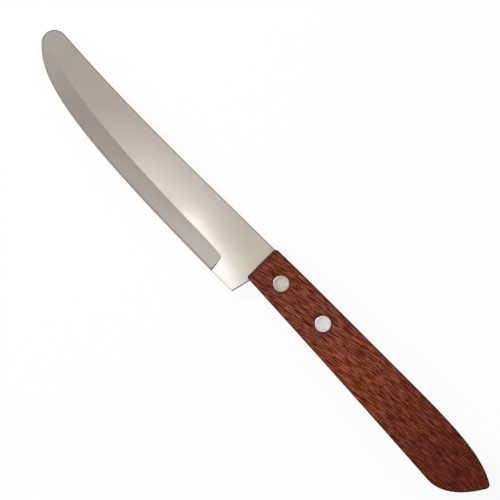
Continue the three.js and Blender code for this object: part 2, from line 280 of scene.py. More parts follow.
towards_knife = (at(0, 0) - KEY_PLACE).to_track_quat("-Z", "Y").to_euler()
hang_lamp("key_lamp", KEY_PLACE, KEY_SIZE, KEY_SIZE, KEY_POWER, towards_knife)
hang_lamp("fill_lamp", FILL_PLACE, FILL_SIZE, FILL_SIZE, FILL_POWER)
hang_lamp("bevel_lamp", BEVEL_PLACE, BEVEL_SIZE, BEVEL_SIZE, BEVEL_POWER)
hang_lamp("sheen_lamp", SHEEN_PLACE, SHEEN_LENGTH, SHEEN_WIDTH, SHEEN_POWER, colour=SHEEN_COLOUR)
hang_lamp("glint_lamp", GLINT_PLACE, GLINT_LENGTH, GLINT_WIDTH, GLINT_POWER, GLINT_TURN, GLINT_COLOUR)

# %% [markdown]
# The knife lies on a pale floor. The floor is matt white, so it throws light back up at the knife.
# Seen directly it also glows a little, which lifts it to the white of the picture's background and
# still leaves the knife its shadow.

# %% Floor
FLOOR_SIZE = 4
FLOOR_GAP = 0.0001
FLOOR_GLOW = 0.9
FLOOR_WHITE = (0.95, 0.95, 0.95, 1.0)


def floor_finish():
    material, network = new_finish("pale_floor")
    matt = network.node("ShaderNodeBsdfDiffuse", {}, {"Color": FLOOR_WHITE})
    glow = network.node("ShaderNodeEmission", {}, {"Color": WHITE, "Strength": 1.0})
    share = seen_directly(network) * FLOOR_GLOW
    mixed = network.node("ShaderNodeMixShader", {}, {0: share, 1: matt, 2: glow})
    network.node("ShaderNodeOutputMaterial", {}, {"Surface": mixed})
    return material


bpy.ops.mesh.primitive_plane_add(size=FLOOR_SIZE, location=(0, 0, -FLOOR_GAP))
floor = bpy.context.object
floor.name = "floor"
floor.data.materials.append(floor_finish())
print("floor:", FLOOR_SIZE, "m square")

# %% [markdown]
# Blade and handle are both flat shapes of a fine outline, so each is drawn as a curve and then
# pulled up into a plate. A curve of a few Bezier segments says the outline best: straight runs,
# round corners and the long sweeps of a knife need four points each. These helpers draw a segment.

# %% Outline helpers
CURVE_STEPS = 40
ARC_REACH = 4 / 3
TOUCHING = 0.001 * MM


def along(start, degrees, distance):
    """The place so many metres from start, in a direction in the plane of the blade."""
    angle = math.radians(degrees)
    return start + Vector((math.cos(angle), math.sin(angle), 0)) * distance


def line(start, end):
    return [start, start.lerp(end, 1 / 3), start.lerp(end, 2 / 3), end]


def bend(start, corner, end):
    """A smooth bend that leaves start and reaches end along the lines to a corner."""
    return [start, start.lerp(corner, 2 / 3), end.lerp(corner, 2 / 3), end]


def arc(centre, radius, start_degrees, end_degrees):
    """A round arc of up to about a right angle."""
    reach = ARC_REACH * math.tan(math.radians(end_degrees - start_degrees) / 4) * radius
    start = along(centre, start_degrees, radius)
    end = along(centre, end_degrees, radius)
    return [start, along(start, start_degrees + 90, reach), along(end, end_degrees - 90, reach), end]


def eased_corner(before, corner, after, radius):
    """The arc that rounds a corner between two straight sides."""
    back = (before - corner).normalized()
    ahead = (after - corner).normalized()
    half_angle = back.angle(ahead) / 2
    setback = radius / math.tan(half_angle)
    reach = setback - ARC_REACH * math.tan((math.pi - 2 * half_angle) / 4) * radius
    return [corner + back * setback, corner + back * reach, corner + ahead * reach,
            corner + ahead * setback]


def close_outline(segments):
    """The segments in order, with a straight line wherever one ends away from the next."""
    joined = []
    for segment, following in zip(segments, segments[1:] + segments[:1]):
        joined.append(segment)
        if (following[0] - segment[-1]).length > TOUCHING:
            joined.append(line(segment[-1], following[0]))
    return joined


# %% [markdown]
# The next helpers do what hands do in the viewport: pick one piece, go into edit mode, select by
# place, and apply a modifier. Operators act on whatever is selected, so each helper first lets go
# of everything else.


# %% Modelling helpers
WELD = 0.0005 * MM


def only(piece):
    """Select one piece and make it the active one."""
    bpy.ops.object.select_all(action="DESELECT")
    piece.select_set(True)
    bpy.context.view_layer.objects.active = piece


@contextlib.contextmanager
def editing(piece):
    """Edit mode on one piece, with nothing selected at the start."""
    only(piece)
    bpy.ops.object.mode_set(mode="EDIT")
    bpy.ops.mesh.select_all(action="DESELECT")
    yield
    bpy.ops.object.mode_set(mode="OBJECT")


def choose(piece, kind, wanted):
    """In edit mode, select the vertices, edges or faces that pass a test, and nothing else."""
    bpy.ops.mesh.select_mode(type=kind)
    bpy.ops.mesh.select_all(action="DESELECT")
    mesh = bmesh.from_edit_mesh(piece.data)
    for part in {"VERT": mesh.verts, "EDGE": mesh.edges, "FACE": mesh.faces}[kind]:
        if wanted(part):
            part.select_set(True)
    bmesh.update_edit_mesh(piece.data)


def weld(piece):
    """Join vertices that lie on each other and turn every face outwards."""
    with editing(piece):
        bpy.ops.mesh.select_all(action="SELECT")
        bpy.ops.mesh.remove_doubles(threshold=WELD)
        bpy.ops.mesh.normals_make_consistent(inside=False)


def apply_modifier(piece, kind, **settings):
    only(piece)
    modifier = piece.modifiers.new(kind.lower(), kind)
    for name, value in settings.items():
        setattr(modifier, name, value)
    bpy.ops.object.modifier_apply(modifier=modifier.name)


def carve(piece, tool, operation="DIFFERENCE"):
    """Cut a piece with a tool, or keep only what both share, and put the tool away."""
    apply_modifier(piece, "BOOLEAN", operation=operation, solver="EXACT", object=tool)
    bpy.data.objects.remove(tool)
    weld(piece)


def plate(name, segments, thickness):
    """A closed outline, filled and pulled up into a plate on both sides of the middle plane."""
    bpy.ops.object.select_all(action="DESELECT")
    bpy.ops.curve.primitive_bezier_curve_add()
    curve = bpy.context.object
    spline = curve.data.splines[0]
    spline.bezier_points.add(len(segments) - len(spline.bezier_points))
    for index, segment in enumerate(segments):
        knot = spline.bezier_points[index]
        knot.handle_left_type = knot.handle_right_type = "FREE"
        knot.co = segment[0]
        knot.handle_left = segments[index - 1][2]
        knot.handle_right = segment[1]
    spline.use_cyclic_u = True
    spline.resolution_u = CURVE_STEPS
    bpy.ops.object.convert(target="MESH")
    piece = bpy.context.object
    piece.name = name
    with editing(piece):
        bpy.ops.mesh.select_all(action="SELECT")
        bpy.ops.mesh.remove_doubles(threshold=WELD)
        bpy.ops.mesh.edge_face_add()
        bpy.ops.transform.translate(value=(0, 0, -thickness / 2 * MM))
        bpy.ops.mesh.extrude_region_move(TRANSFORM_OT_translate={"value": (0, 0, thickness * MM)})
        bpy.ops.mesh.select_all(action="SELECT")
        bpy.ops.mesh.normals_make_consistent(inside=False)
    return piece


def ease_rims(piece, thickness, width, steps):
    """Round the edges between a plate's flat faces and its sides."""
    reach = thickness / 2 * MM - TOUCHING

    def on_rim(edge):
        heights = [vertex.co.z - MIDDLE for vertex in edge.verts]
        return min(heights) > reach or max(heights) < -reach

    with editing(piece):
        choose(piece, "EDGE", on_rim)
        bpy.ops.mesh.bevel(offset=width * MM, segments=steps, affect="EDGES", clamp_overlap=False)


def settle(piece, node, finish):
    """Put a finished piece in the model: its finish, the body that it rides on, the node it stands for."""
    only(piece)
    bpy.ops.object.transform_apply(location=True, rotation=True, scale=True)
    piece.data.materials.clear()
    piece.data.materials.append(finish)
    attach(piece, "root")
    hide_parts(node)
    print(piece.name, "has", len(piece.data.polygons), "faces")


# %% [markdown]
# The blade is stamped from thin sheet. Its outline has a nearly straight spine that dips a little
# and rises to the tip, a tip rounded to a small radius, a belly that sweeps down to the heel, and
# behind the heel the tang. The outline could be cut from a box with booleans, but the sweeps are the
# look of this knife, so they are drawn as curves. The sizes are in millimetres, and are those of the
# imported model.

# %% Blade outline
BLADE_LENGTH = 114.7
BLADE_HEIGHT = 21.95
BLADE_THICKNESS = 1.2
SPINE_DROP = 0.8
SPINE_SAG = 0.52
SPINE_HEEL_REACH = 45.4
SPINE_TIP_REACH = 34
TIP_RADIUS = 4.8
TIP_RISE = 1.23
TIP_UPSWEEP = 4
TIP_TURN = 42.7
BELLY_TIP_REACH = 13.3
BELLY_HEEL_REACH = 85.4
HEEL_SETBACK = 0.2
HEEL_RAKE = 14
HEEL_RADIUS = 0.5
TANG_LENGTH = 46
TANG_INSET = 0.6
TANG_NOTCH_RADIUS = 0.8
TANG_END_RADIUS = 4
HANDLE_FRONT_HEIGHT = 15.2
HANDLE_BUTT_HEIGHT = 20.75
UNDERSIDE_LENGTH = 98.4
UNDERSIDE_HOLLOW = 0.21

HEEL_LEVEL = -SPINE_DROP - BLADE_HEIGHT


def underside(x):
    """The handle's underside: a straight line with a slight bow, which the tang follows."""
    share = x / UNDERSIDE_LENGTH
    chord = -HANDLE_FRONT_HEIGHT - (HANDLE_BUTT_HEIGHT - HANDLE_FRONT_HEIGHT) * share
    return chord + 4 * UNDERSIDE_HOLLOW * share * (1 - share)


def tip_and_spine():
    shoulder = at(0, -SPINE_DROP)
    centre = at(TIP_RADIUS - BLADE_LENGTH, TIP_RISE - SPINE_DROP - TIP_RADIUS)
    upper_tip = arc(centre, TIP_RADIUS * MM, 90 - TIP_UPSWEEP, 180)
    lower_tip = arc(centre, TIP_RADIUS * MM, 180, 180 + TIP_TURN)
    spine = [shoulder, at(-SPINE_HEEL_REACH, -SPINE_DROP - SPINE_SAG),
             along(upper_tip[0], -TIP_UPSWEEP, SPINE_TIP_REACH * MM), upper_tip[0]]
    return spine, upper_tip, lower_tip


def heel_and_tang():
    heel = at(-HEEL_SETBACK, HEEL_LEVEL)
    rise = underside(0) + TANG_INSET - HEEL_LEVEL
    notch_x = -HEEL_SETBACK + rise * math.tan(math.radians(HEEL_RAKE))
    notch = at(notch_x, underside(notch_x) + TANG_INSET)
    foot = at(TANG_LENGTH, underside(TANG_LENGTH) + TANG_INSET)
    top = at(TANG_LENGTH, -SPINE_DROP)
    belly_side = at(-HEEL_SETBACK - BELLY_HEEL_REACH, HEEL_LEVEL)
    return [
        eased_corner(belly_side, heel, notch, HEEL_RADIUS * MM),
        eased_corner(heel, notch, foot, TANG_NOTCH_RADIUS * MM),
        eased_corner(notch, foot, top, TANG_END_RADIUS * MM),
        eased_corner(foot, top, at(0, -SPINE_DROP), TANG_END_RADIUS * MM),
    ]


spine, upper_tip, lower_tip = tip_and_spine()
tang_corners = heel_and_tang()
belly_start, belly_end = lower_tip[-1], tang_corners[0][0]
belly = [belly_start, along(belly_start, 270 + TIP_TURN, BELLY_TIP_REACH * MM),
         along(belly_end, 180, BELLY_HEEL_REACH * MM), belly_end]
blade_outline = close_outline([spine, upper_tip, lower_tip, belly] + tang_corners)
print("blade outline:", len(blade_outline), "segments")

# %% [markdown]
# The blank is the outline pulled up to the sheet's thickness. Tumbling takes the burr off a stamped edge and
# leaves it slightly round, and that thin round, darkened with painted shade, draws a line along the spine.

# %% Blade blank
EDGE_BREAK = 0.35
EDGE_BREAK_STEPS = 3

blade = plate("ground_blade", blade_outline, BLADE_THICKNESS)
ease_rims(blade, BLADE_THICKNESS, EDGE_BREAK, EDGE_BREAK_STEPS)
print("blank:", len(blade.data.polygons), "faces")

# %% [markdown]
# Two grinding wheels hollow the blade along its edge, one on each face, and a last pass sets the
# narrow edge bevel. Moving vertices by hand could copy that, but sweeping the wheel's section along
# the cutting edge does what the wheel does. The section is a curve, swept as the bevel of a path,
# and the path's radius shrinks towards the tip, where the grind runs out. A round-ended block then
# limits the sweep, because the wheel is lifted off in front of the heel and leaves a round plunge.
# The block's end slants, as the wheel's shoulder does, so the plunge widens towards the edge. Its top
# slopes down to the plunge, because the ground face narrows as the wheel lifts.

# %% Hollow grind
GRIND_WIDTH = 7.0
GRIND_RUNOUT = 10
GRIND_START = 0.15
GRIND_FOOT = 0.3
HOLLOW_DEPTH = 0.05
HOLLOW_STEPS = 10
EDGE_BEVEL_WIDTH = 0.9
EDGE_THICKNESS = 0.1
PLUNGE_SETBACK = 10.9
PLUNGE_HEIGHT = 6.5
PLUNGE_ARC_RADIUS = 21
PLUNGE_CORNER_RADIUS = 1.4
PLUNGE_SLANT = 45
PLUNGE_LEAD = 8.5
PLUNGE_LEAD_SLOPE = 4
OVERRUN = 2
BLOCK_RISE = 1.5 * OVERRUN


def wheel_section():
    """The section of what is ground off: x goes in from the cutting edge, y down from the face."""
    foot_depth = (BLADE_THICKNESS - GRIND_FOOT) / 2
    edge_depth = (BLADE_THICKNESS - EDGE_THICKNESS) / 2
    slope = (foot_depth + 4 * HOLLOW_DEPTH) / (GRIND_WIDTH - EDGE_BEVEL_WIDTH)
    points = [(GRIND_WIDTH + OVERRUN, -OVERRUN), (GRIND_WIDTH + OVERRUN, -OVERRUN * slope)]
    for step in range(HOLLOW_STEPS + 1):
        share = step / HOLLOW_STEPS
        dip = 4 * HOLLOW_DEPTH * share * (1 - share)
        across = GRIND_WIDTH + (EDGE_BEVEL_WIDTH - GRIND_WIDTH) * share
        points.append((across, foot_depth * share + dip))
    return points + [(0, edge_depth), (-OVERRUN, edge_depth), (-OVERRUN, -OVERRUN)]


def polyline(name, places, radii=None):
    """A curve of straight pieces, with a radius at each point for what is swept along it."""
    bpy.ops.object.select_all(action="DESELECT")
    bpy.ops.curve.primitive_nurbs_path_add()
    curve = bpy.context.object
    curve.name = name
    curve.data.splines.clear()
    spline = curve.data.splines.new("POLY")
    spline.points.add(len(places) - 1)
    for index, place in enumerate(places):
        spline.points[index].co = (*place, 1)
        spline.points[index].radius = radii[index] if radii else 1
    return curve


def edge_stations(steps):
    """Places along the cutting edge from the tip, each with its share of the full grind."""
    places = interpolate_bezier(*lower_tip, steps)[:-1] + interpolate_bezier(*belly, steps)
    run = GRIND_START
    stations = []
    for before, place in zip(places[:1] + places, places):
        run += (place - before).length / MM
        stations.append((place, 1 - math.exp(-run / GRIND_RUNOUT)))
    return stations


def sweep_wheel():
    """The wheel's cut along the upper face, from the tip to past the heel."""
    section = polyline("wheel_section", [(-x * MM, -y * MM, 0) for x, y in wheel_section()])
    section.data.dimensions = "2D"
    section.data.splines[0].use_cyclic_u = True
    places, shares = zip(*edge_stations(CURVE_STEPS))
    face = Vector((0, 0, BLADE_THICKNESS / 2 * MM))
    wheel = polyline("wheel_cut", [place + face for place in places], shares)
    wheel.data.twist_mode = "Z_UP"
    wheel.data.bevel_mode = "OBJECT"
    wheel.data.bevel_object = section
    wheel.data.use_fill_caps = True
    bpy.ops.object.convert(target="MESH")
    bpy.data.objects.remove(section)
    weld(wheel)
    return wheel


def ground_area():
    """The plan of the ground area, with the round end that the lifted wheel leaves."""
    centre = at(-PLUNGE_SETBACK - PLUNGE_ARC_RADIUS, HEEL_LEVEL)
    top_angle = math.degrees(math.asin(PLUNGE_HEIGHT / PLUNGE_ARC_RADIUS))
    plunge = arc(centre, PLUNGE_ARC_RADIUS * MM, -top_angle / 2, top_angle / 2)
    top = along(centre, top_angle, PLUNGE_ARC_RADIUS * MM)
    tipward = along(top, 180 - PLUNGE_LEAD_SLOPE, PLUNGE_LEAD * MM)
    corner = eased_corner(plunge[-1], top, tipward, PLUNGE_CORNER_RADIUS * MM)
    left = -BLADE_LENGTH - OVERRUN
    right = (plunge[0].x - handle_low.x) / MM
    low = HEEL_LEVEL - 2 * OVERRUN
    outline = [
        line(at(left, low), at(right, low)),
        plunge,
        corner,
        line(tipward, Vector((tipward.x, handle_high.y + OVERRUN * MM, MIDDLE))),
        line(at(left, OVERRUN), at(left, low)),
    ]
    block = plate("ground_area", close_outline(outline), BLADE_THICKNESS + 2 * BLOCK_RISE)
    slant = math.tan(math.radians(PLUNGE_SLANT))
    face = MIDDLE + BLADE_THICKNESS / 2 * MM
    with editing(block):
        for upper in (True, False):
            choose(block, "VERT", lambda vertex: (vertex.co.z > MIDDLE) == upper)
            level = MIDDLE + (BLADE_THICKNESS / 2 + BLOCK_RISE) * MM * (1 if upper else -1)
            bpy.ops.transform.translate(value=((level - face) * slant, 0, 0))
    return block


def flipped(piece):
    """A copy on the other face of the blade, with its faces turned the right way."""
    only(piece)
    bpy.ops.object.duplicate()
    copy = bpy.context.object
    with editing(copy):
        bpy.ops.mesh.select_all(action="SELECT")
        bpy.ops.transform.resize(value=(1, 1, -1), center_override=(0, 0, MIDDLE))
        bpy.ops.mesh.normals_make_consistent(inside=False)
    return copy


upper_cut = sweep_wheel()
carve(upper_cut, ground_area(), "INTERSECT")
lower_cut = flipped(upper_cut)
carve(blade, upper_cut)
carve(blade, lower_cut)
print("ground blade:", len(blade.data.polygons), "faces")

# %% [markdown]
# The tang has a hole for each rivet. Each rivet's place comes from its node in the frame. The holes
# are drilled with cylinders, as on a bench.

# %% Rivet holes in the tang
RIVET_NAMES = ("front_rivet", "rear_rivet")
RIVET_SLEEVE_DIAMETER = 4
RIVET_CLEARANCE = 0.15
HOLE_SIDES = 64


def rivet_axis(name):
    low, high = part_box(name + "_pin")
    return Vector(((low.x + high.x) / 2, (low.y + high.y) / 2, MIDDLE))


def drill(place, diameter, bottom, top):
    """A cylinder to cut with, between two heights in millimetres from the middle plane."""
    bpy.ops.object.select_all(action="DESELECT")
    bpy.ops.mesh.primitive_cylinder_add(
        vertices=HOLE_SIDES,
        radius=diameter / 2 * MM,
        depth=(top - bottom) * MM,
        location=place + Vector((0, 0, (bottom + top) / 2 * MM)),
    )
    return bpy.context.object


for name in RIVET_NAMES:
    hole = drill(rivet_axis(name), RIVET_SLEEVE_DIAMETER + 2 * RIVET_CLEARANCE, -OVERRUN, OVERRUN)
    carve(blade, hole)
print("rivets at", [[round(value, 4) for value in rivet_axis(name)] for name in RIVET_NAMES])

# %% [markdown]
# A ground blade reads by its crisp lines, so its faces are shaded smooth only where they meet at
# less than a few degrees: the grind line and the edge bevel stay sharp and the hollow stays smooth.
# A band along the cutting edge is duller than the ground face, most near the tip. The tumbled sides and
# edges are duller still and carry painted shade. The plunge and the eased edge round the tip are painted
# dark as shade, and the one on the heel's back, which nothing polishes, is painted nearly black as a shadow
# line. The eased edges under the heel are polished by sharpening and painted bright as a highlight. Each of
# these could be a material of its own, but an attribute on each face, which tells the finish how dark it is,
# keeps the blade one piece of steel.

# %% Blade shading
CRISP_ANGLE = 3.2
FLAT_LEAN = 0.9999
RIM_LEAN = 0.98
EDGE_BAND = 0.75
TIP_DULLNESS = 0.3
HEEL_DULLNESS = 0.11
TUMBLED_AND_SHADED = 0.5
SHADED_RIM = 0.86
HEEL_SHADOW_LINE = 1
EASED_LEAN = 0.2
SHARPENED_HIGHLIGHT = -0.6
HEEL_START = at(-PLUNGE_SETBACK - PLUNGE_CORNER_RADIUS - BLADE_THICKNESS, 0).x
HEEL_MIDDLE = at(-PLUNGE_SETBACK / 2, 0).x
FINE_STEPS = 150
fine_edge = edge_stations(FINE_STEPS)


def edge_dullness(face):
    """How dull a ground face is: 0, unless it lies in the narrow band along the cutting edge."""
    place, share = min(fine_edge, key=lambda station: (station[0] - face.center).xy.length)
    if (place - face.center).xy.length > EDGE_BAND * MM:
        return 0
    return TIP_DULLNESS + share * (HEEL_DULLNESS - TIP_DULLNESS)


def painted_rim_shade(face):
    """How dark a face is: 0 on the flats, up to 1 on rims with painted shade, below 0 for a painted
    highlight.
    """
    if abs(face.normal.z) > FLAT_LEAN:
        return 0
    if abs(face.normal.z) > RIM_LEAN:
        return edge_dullness(face)
    # Rims are painted dark as shade, nearly black on the heel's back; under the heel they get a painted
    # highlight.
    across = abs(face.normal.x) > abs(face.normal.y)
    under_heel = not across and face.normal.y < 0 and HEEL_START < face.center.x < handle_low.x
    if abs(face.normal.z) < EASED_LEAN:
        return 0 if under_heel else TUMBLED_AND_SHADED
    if under_heel:
        return SHARPENED_HIGHLIGHT
    if across:
        return HEEL_SHADOW_LINE if face.center.x > HEEL_MIDDLE else SHADED_RIM
    return TUMBLED_AND_SHADED


def mark_rims(piece):
    rim = piece.data.attributes.new("rim", "FLOAT", "FACE")
    values = [painted_rim_shade(face) for face in piece.data.polygons]
    rim.data.foreach_set("value", values)
    print("rim faces:", sum(value != 0 for value in values))


only(blade)
bpy.ops.object.shade_smooth_by_angle(angle=math.radians(CRISP_ANGLE))
mark_rims(blade)

# %% [markdown]
# The steel is satin stainless. Fine brushing runs along the flat, and the wheel leaves marks across the
# ground face. A depth below the flat, read from the Object coordinates, tells the two apart. Both show as
# small changes of roughness and a faint bump, because painted lines would look printed. The ground face is
# darker than the flat, though less so at the tip. Above the heel, by the handle, the steel has a slight
# straw tint and a painted sheen that lightens it, and at the tip a cooler tint.

# %% Steel finish
STEEL_FLAT = (0.566, 0.5, 0.433, 1.0)
STEEL_GROUND = (0.432, 0.384, 0.338, 1.0)
STEEL_RIM_SHADE = (0.02, 0.018, 0.017, 1.0)
STEEL_HIGHLIGHT = (0.95, 0.94, 0.92, 1.0)
CLOUD_DARK = (0.97, 0.97, 0.97, 1.0)
CLOUD_PALE = (1.03, 1.025, 1.02, 1.0)
STRAW_TINT_AND_SHEEN = (1.08, 1.08, 1.02, 1.0)
TIP_TINT = (1.0, 1.06, 1.13, 1.0)
BRUSHING_SIZE = (20 * MM, 0.2 * MM, 1)
WHEEL_MARK_SIZE = (0.2 * MM, 12 * MM, 1)
MARK_DETAIL = 2.0
MARK_ROUGHNESS = 0.6
CLOUD_SIZE = (30 * MM, 9 * MM, 1)
CLOUD_DETAIL = 1.0
GROUND_DEPTH = 0.022
TIP_CONTRAST = 0.25
STEEL_ROUGHNESS = 0.18
MARK_DULLNESS = 0.08
GROUND_DULLNESS = 0.03
RIM_DULLNESS = 0.15
STEEL_BUMP = 0.02
STEEL_BUMP_DEPTH = 0.02 * MM


def stretch_of(start, end):
    """A stretch along the knife, in millimetres behind the handle's front, as places in the frame."""
    return at(start, 0).x, at(end, 0).x


FULL_CONTRAST = stretch_of(-114, -84)
COOL_TIP = stretch_of(-104, -113)
BY_HANDLE = stretch_of(-16, -3)
ABOVE_HEEL = (at(0, -15.5).y, at(0, -12.5).y)


def steel_finish():
    material, network = new_finish("satin_steel")
    place = network.node("ShaderNodeTexCoord", {}, {}, "Object")
    rim = network.node("ShaderNodeAttribute", {"attribute_name": "rim"}, {}, "Fac")
    lengthwise, crosswise, height = [network.part(place, axis) for axis in "XYZ"]
    face = BLADE_THICKNESS / 2 * MM
    ground = network.ease(abs(height - MIDDLE), face - TOUCHING, face - GROUND_DEPTH * MM)
    brushing = network.noise(network.stretch(place, BRUSHING_SIZE), MARK_DETAIL, MARK_ROUGHNESS)
    wheel_marks = network.noise(network.stretch(place, WHEEL_MARK_SIZE), MARK_DETAIL, MARK_ROUGHNESS)
    marks = brushing + ground * (wheel_marks - brushing)
    cloud = network.noise(network.stretch(place, CLOUD_SIZE), CLOUD_DETAIL)
    contrast = TIP_CONTRAST + network.ease(lengthwise, *FULL_CONTRAST) * (1 - TIP_CONTRAST)
    colour = network.blend(ground * contrast, STEEL_FLAT, STEEL_GROUND)
    # Painted shade on the rims, then the painted highlight on the sharpened edges under the heel.
    colour = network.blend(rim, colour, STEEL_RIM_SHADE)
    colour = network.blend(rim * -1, colour, STEEL_HIGHLIGHT)
    colour = network.blend(1.0, colour, network.blend(cloud, CLOUD_DARK, CLOUD_PALE), "MULTIPLY")
    by_handle = network.ease(lengthwise, *BY_HANDLE) * network.ease(crosswise, *ABOVE_HEEL)
    # A painted sheen and a straw tint lighten the steel beside the handle, above the heel.
    colour = network.blend(by_handle, colour, STRAW_TINT_AND_SHEEN, "MULTIPLY")
    colour = network.blend(network.ease(lengthwise, *COOL_TIP), colour, TIP_TINT, "MULTIPLY")
    roughness = STEEL_ROUGHNESS + marks * MARK_DULLNESS + ground * GROUND_DULLNESS + rim * RIM_DULLNESS
    network.surface(marks, STEEL_BUMP, STEEL_BUMP_DEPTH, {
        "Base Color": colour, "Metallic": 1.0, "Roughness": roughness})
    return material


settle(blade, "blade", steel_finish())

# %% [markdown]
# The handle is one piece of hardwood. Its back is straight, but falls a little towards the front.
# Its underside bows in a little and drops towards the butt, and the butt is shaped like a leaf, with
# a rounded point. Sides and corners are sanded round. The outline is again a curve, pulled up to the
# handle's thickness, and a bevel with many steps rounds its edges.

# %% Handle outline
HANDLE_LENGTH = 116.4
BACK_LENGTH = 72.3
POINT_DROP = 7.2
POINT_UPPER_ANGLE = 30.8
POINT_LOWER_ANGLE = 59.2
BACK_REACH = 21.8
POINT_UPPER_REACH = 9.8
UNDERSIDE_REACH = 8.6
POINT_LOWER_REACH = 6.2
TOP_EASE = 26
TOP_DROP = 0.3
TOP_RADIUS = 1.4
FOOT_RADIUS = 1
POINT_RADIUS = 1.6
EDGE_ROUND = 0.8
EDGE_ROUND_STEPS = 8


def underside_curve(start):
    """The bowed underside as one segment, with handles at a third of its length."""
    start_x = (start.x - handle_low.x) / MM
    third = (UNDERSIDE_LENGTH - start_x) / 3
    drop = (underside(UNDERSIDE_LENGTH) - underside(0)) / UNDERSIDE_LENGTH
    bow = 4 * UNDERSIDE_HOLLOW / UNDERSIDE_LENGTH
    start_slope = drop + bow * (1 - 2 * start_x / UNDERSIDE_LENGTH)
    end = at(UNDERSIDE_LENGTH, underside(UNDERSIDE_LENGTH))
    return [start, start + Vector((third, third * start_slope, 0)) * MM,
            end - Vector((third, third * (drop - bow), 0)) * MM, end]


def handle_segments():
    front_top, front_foot, back_end = at(0, -TOP_DROP), at(0, underside(0)), at(BACK_LENGTH, 0)
    ease_bend = at(TOP_EASE / 2, 0)
    foot_side = at(FOOT_RADIUS, underside(FOOT_RADIUS))
    top_corner = eased_corner(ease_bend, front_top, front_foot, TOP_RADIUS * MM)
    top_ease = bend(at(TOP_EASE, 0), ease_bend, top_corner[0])
    foot_corner = eased_corner(front_top, front_foot, foot_side, FOOT_RADIUS * MM)
    below = underside_curve(foot_corner[-1])
    point = arc(at(HANDLE_LENGTH - POINT_RADIUS, -POINT_DROP), POINT_RADIUS * MM,
                POINT_LOWER_ANGLE - 90, 90 - POINT_UPPER_ANGLE)
    way = (below[3] - below[2]).normalized()
    lower_butt = [below[3], below[3] + way * UNDERSIDE_REACH * MM,
                  along(point[0], 180 + POINT_LOWER_ANGLE, POINT_LOWER_REACH * MM), point[0]]
    upper_butt = [point[3], along(point[3], 180 - POINT_UPPER_ANGLE, POINT_UPPER_REACH * MM),
                  at(BACK_LENGTH + BACK_REACH, 0), back_end]
    return close_outline([top_ease, top_corner, foot_corner, below, lower_butt, point, upper_butt])


handle = plate("shaped_handle", handle_segments(), HANDLE_THICKNESS)
ease_rims(handle, HANDLE_THICKNESS, EDGE_ROUND, EDGE_ROUND_STEPS)
print("handle:", len(handle.data.polygons), "faces")

# %% [markdown]
# A circular saw cuts the slot for the tang from the front, so the slot's end is round. The rivets
# sit in stepped holes, drilled from both sides, with their heads flush with the wood.

# %% Slot and rivet holes in the handle
SLOT_CLEARANCE = 0.08
SLOT_END_GAP = 1
SAW_RADIUS = 60
RIVET_HEAD_DIAMETER = 6
RIVET_HEAD_THICKNESS = 1
HEAD_CLEARANCE = 0.06
HANDLE_SMOOTH_ANGLE = 25


def saw_slot():
    end = TANG_LENGTH + SLOT_END_GAP
    low = underside(end) - OVERRUN
    centre = at(end - SAW_RADIUS, (OVERRUN + low) / 2)
    spread = math.degrees(math.asin((OVERRUN - low) / 2 / SAW_RADIUS))
    outline = [line(at(-OVERRUN, OVERRUN), at(-OVERRUN, low)), arc(centre, SAW_RADIUS * MM, -spread, spread)]
    return plate("saw_slot", close_outline(outline), BLADE_THICKNESS + 2 * SLOT_CLEARANCE)


carve(handle, saw_slot())
side = HANDLE_THICKNESS / 2
seat = side - RIVET_HEAD_THICKNESS - HEAD_CLEARANCE
for name in RIVET_NAMES:
    axis = rivet_axis(name)
    head_hole = RIVET_HEAD_DIAMETER + 2 * HEAD_CLEARANCE
    carve(handle, drill(axis, RIVET_SLEEVE_DIAMETER + 2 * RIVET_CLEARANCE, -side - OVERRUN, side + OVERRUN))
    carve(handle, drill(axis, head_hole, seat, side + OVERRUN))
    carve(handle, drill(axis, head_hole, -side - OVERRUN, -seat))
only(handle)
bpy.ops.object.shade_smooth_by_angle(angle=math.radians(HANDLE_SMOOTH_ANGLE))
print("handle with slot and holes:", len(handle.data.polygons), "faces")

# %% [markdown]
# The wood is a reddish-brown, open-pored hardwood. On the broad faces its grain runs at a slight slant that
# evens out towards the butt, and on the narrow sides it runs straight. So all its patterns are read from
# bent coordinates and stretched along the grain. A picture of wood could be pasted on, but a solid pattern
# also looks right on the rounded edges and the butt. The rounded edges and the front end are darkened with
# painted shade, most of all on end grain, which is also darker in itself. The wood is darker round the
# rivets.

# %% Wood grain and stain
GRAIN_SLOPE = 0.2
GRAIN_BEND = 0.6
BROAD_FACE_LEAN = (0.8, 0.5)
ROUND_STARTS = (0.05, 0.35)
ROUND_ENDS = (0.995, 0.8)
END_GRAIN_LEAN = (0.25, 0.5)
EDGE_SHADE = 0.55
END_GRAIN_STAIN_AND_SHADE = 0.4
RIVET_RING_DARKNESS = 0.6
RING_WIDTH = 0.8 * MM
RIVET_HALO_DARKNESS = 0.15
HALO_START = 1.2 * MM
HALO_END = 2.4 * MM
FRONT_EDGE_SHADE = 0.55
FRONT_EDGE = stretch_of(1.3, 0.5)


def rivet_distance(network, place):
    """How far a place is from the axis of the nearest rivet."""
    distances = []
    for name in RIVET_NAMES:
        axis = rivet_axis(name)
        offset = network.node("ShaderNodeVectorMath", {"operation": "SUBTRACT"}, {0: place, 1: axis})
        flat = network.node("ShaderNodeVectorMath", {"operation": "MULTIPLY"}, {0: offset, 1: (1, 1, 0)})
        distances.append(network.node("ShaderNodeVectorMath", {"operation": "LENGTH"}, {0: flat}, "Value"))
    front, rear = distances
    return front.math("MINIMUM", front, rear)


def along_grain(network, place, normal):
    """Coordinates that run along the grain, which is bent on the broad faces and straight on the sides."""
    x, y, z = [network.part(place, axis) for axis in "XYZ"]
    on_broad_face = network.ease(abs(network.part(normal, "Y")), *BROAD_FACE_LEAN)
    along_handle = x - handle_low.x
    slant = along_handle * (GRAIN_SLOPE - along_handle * GRAIN_BEND)
    return network.node("ShaderNodeCombineXYZ", {}, {0: along_handle, 1: y - slant * on_broad_face, 2: z})


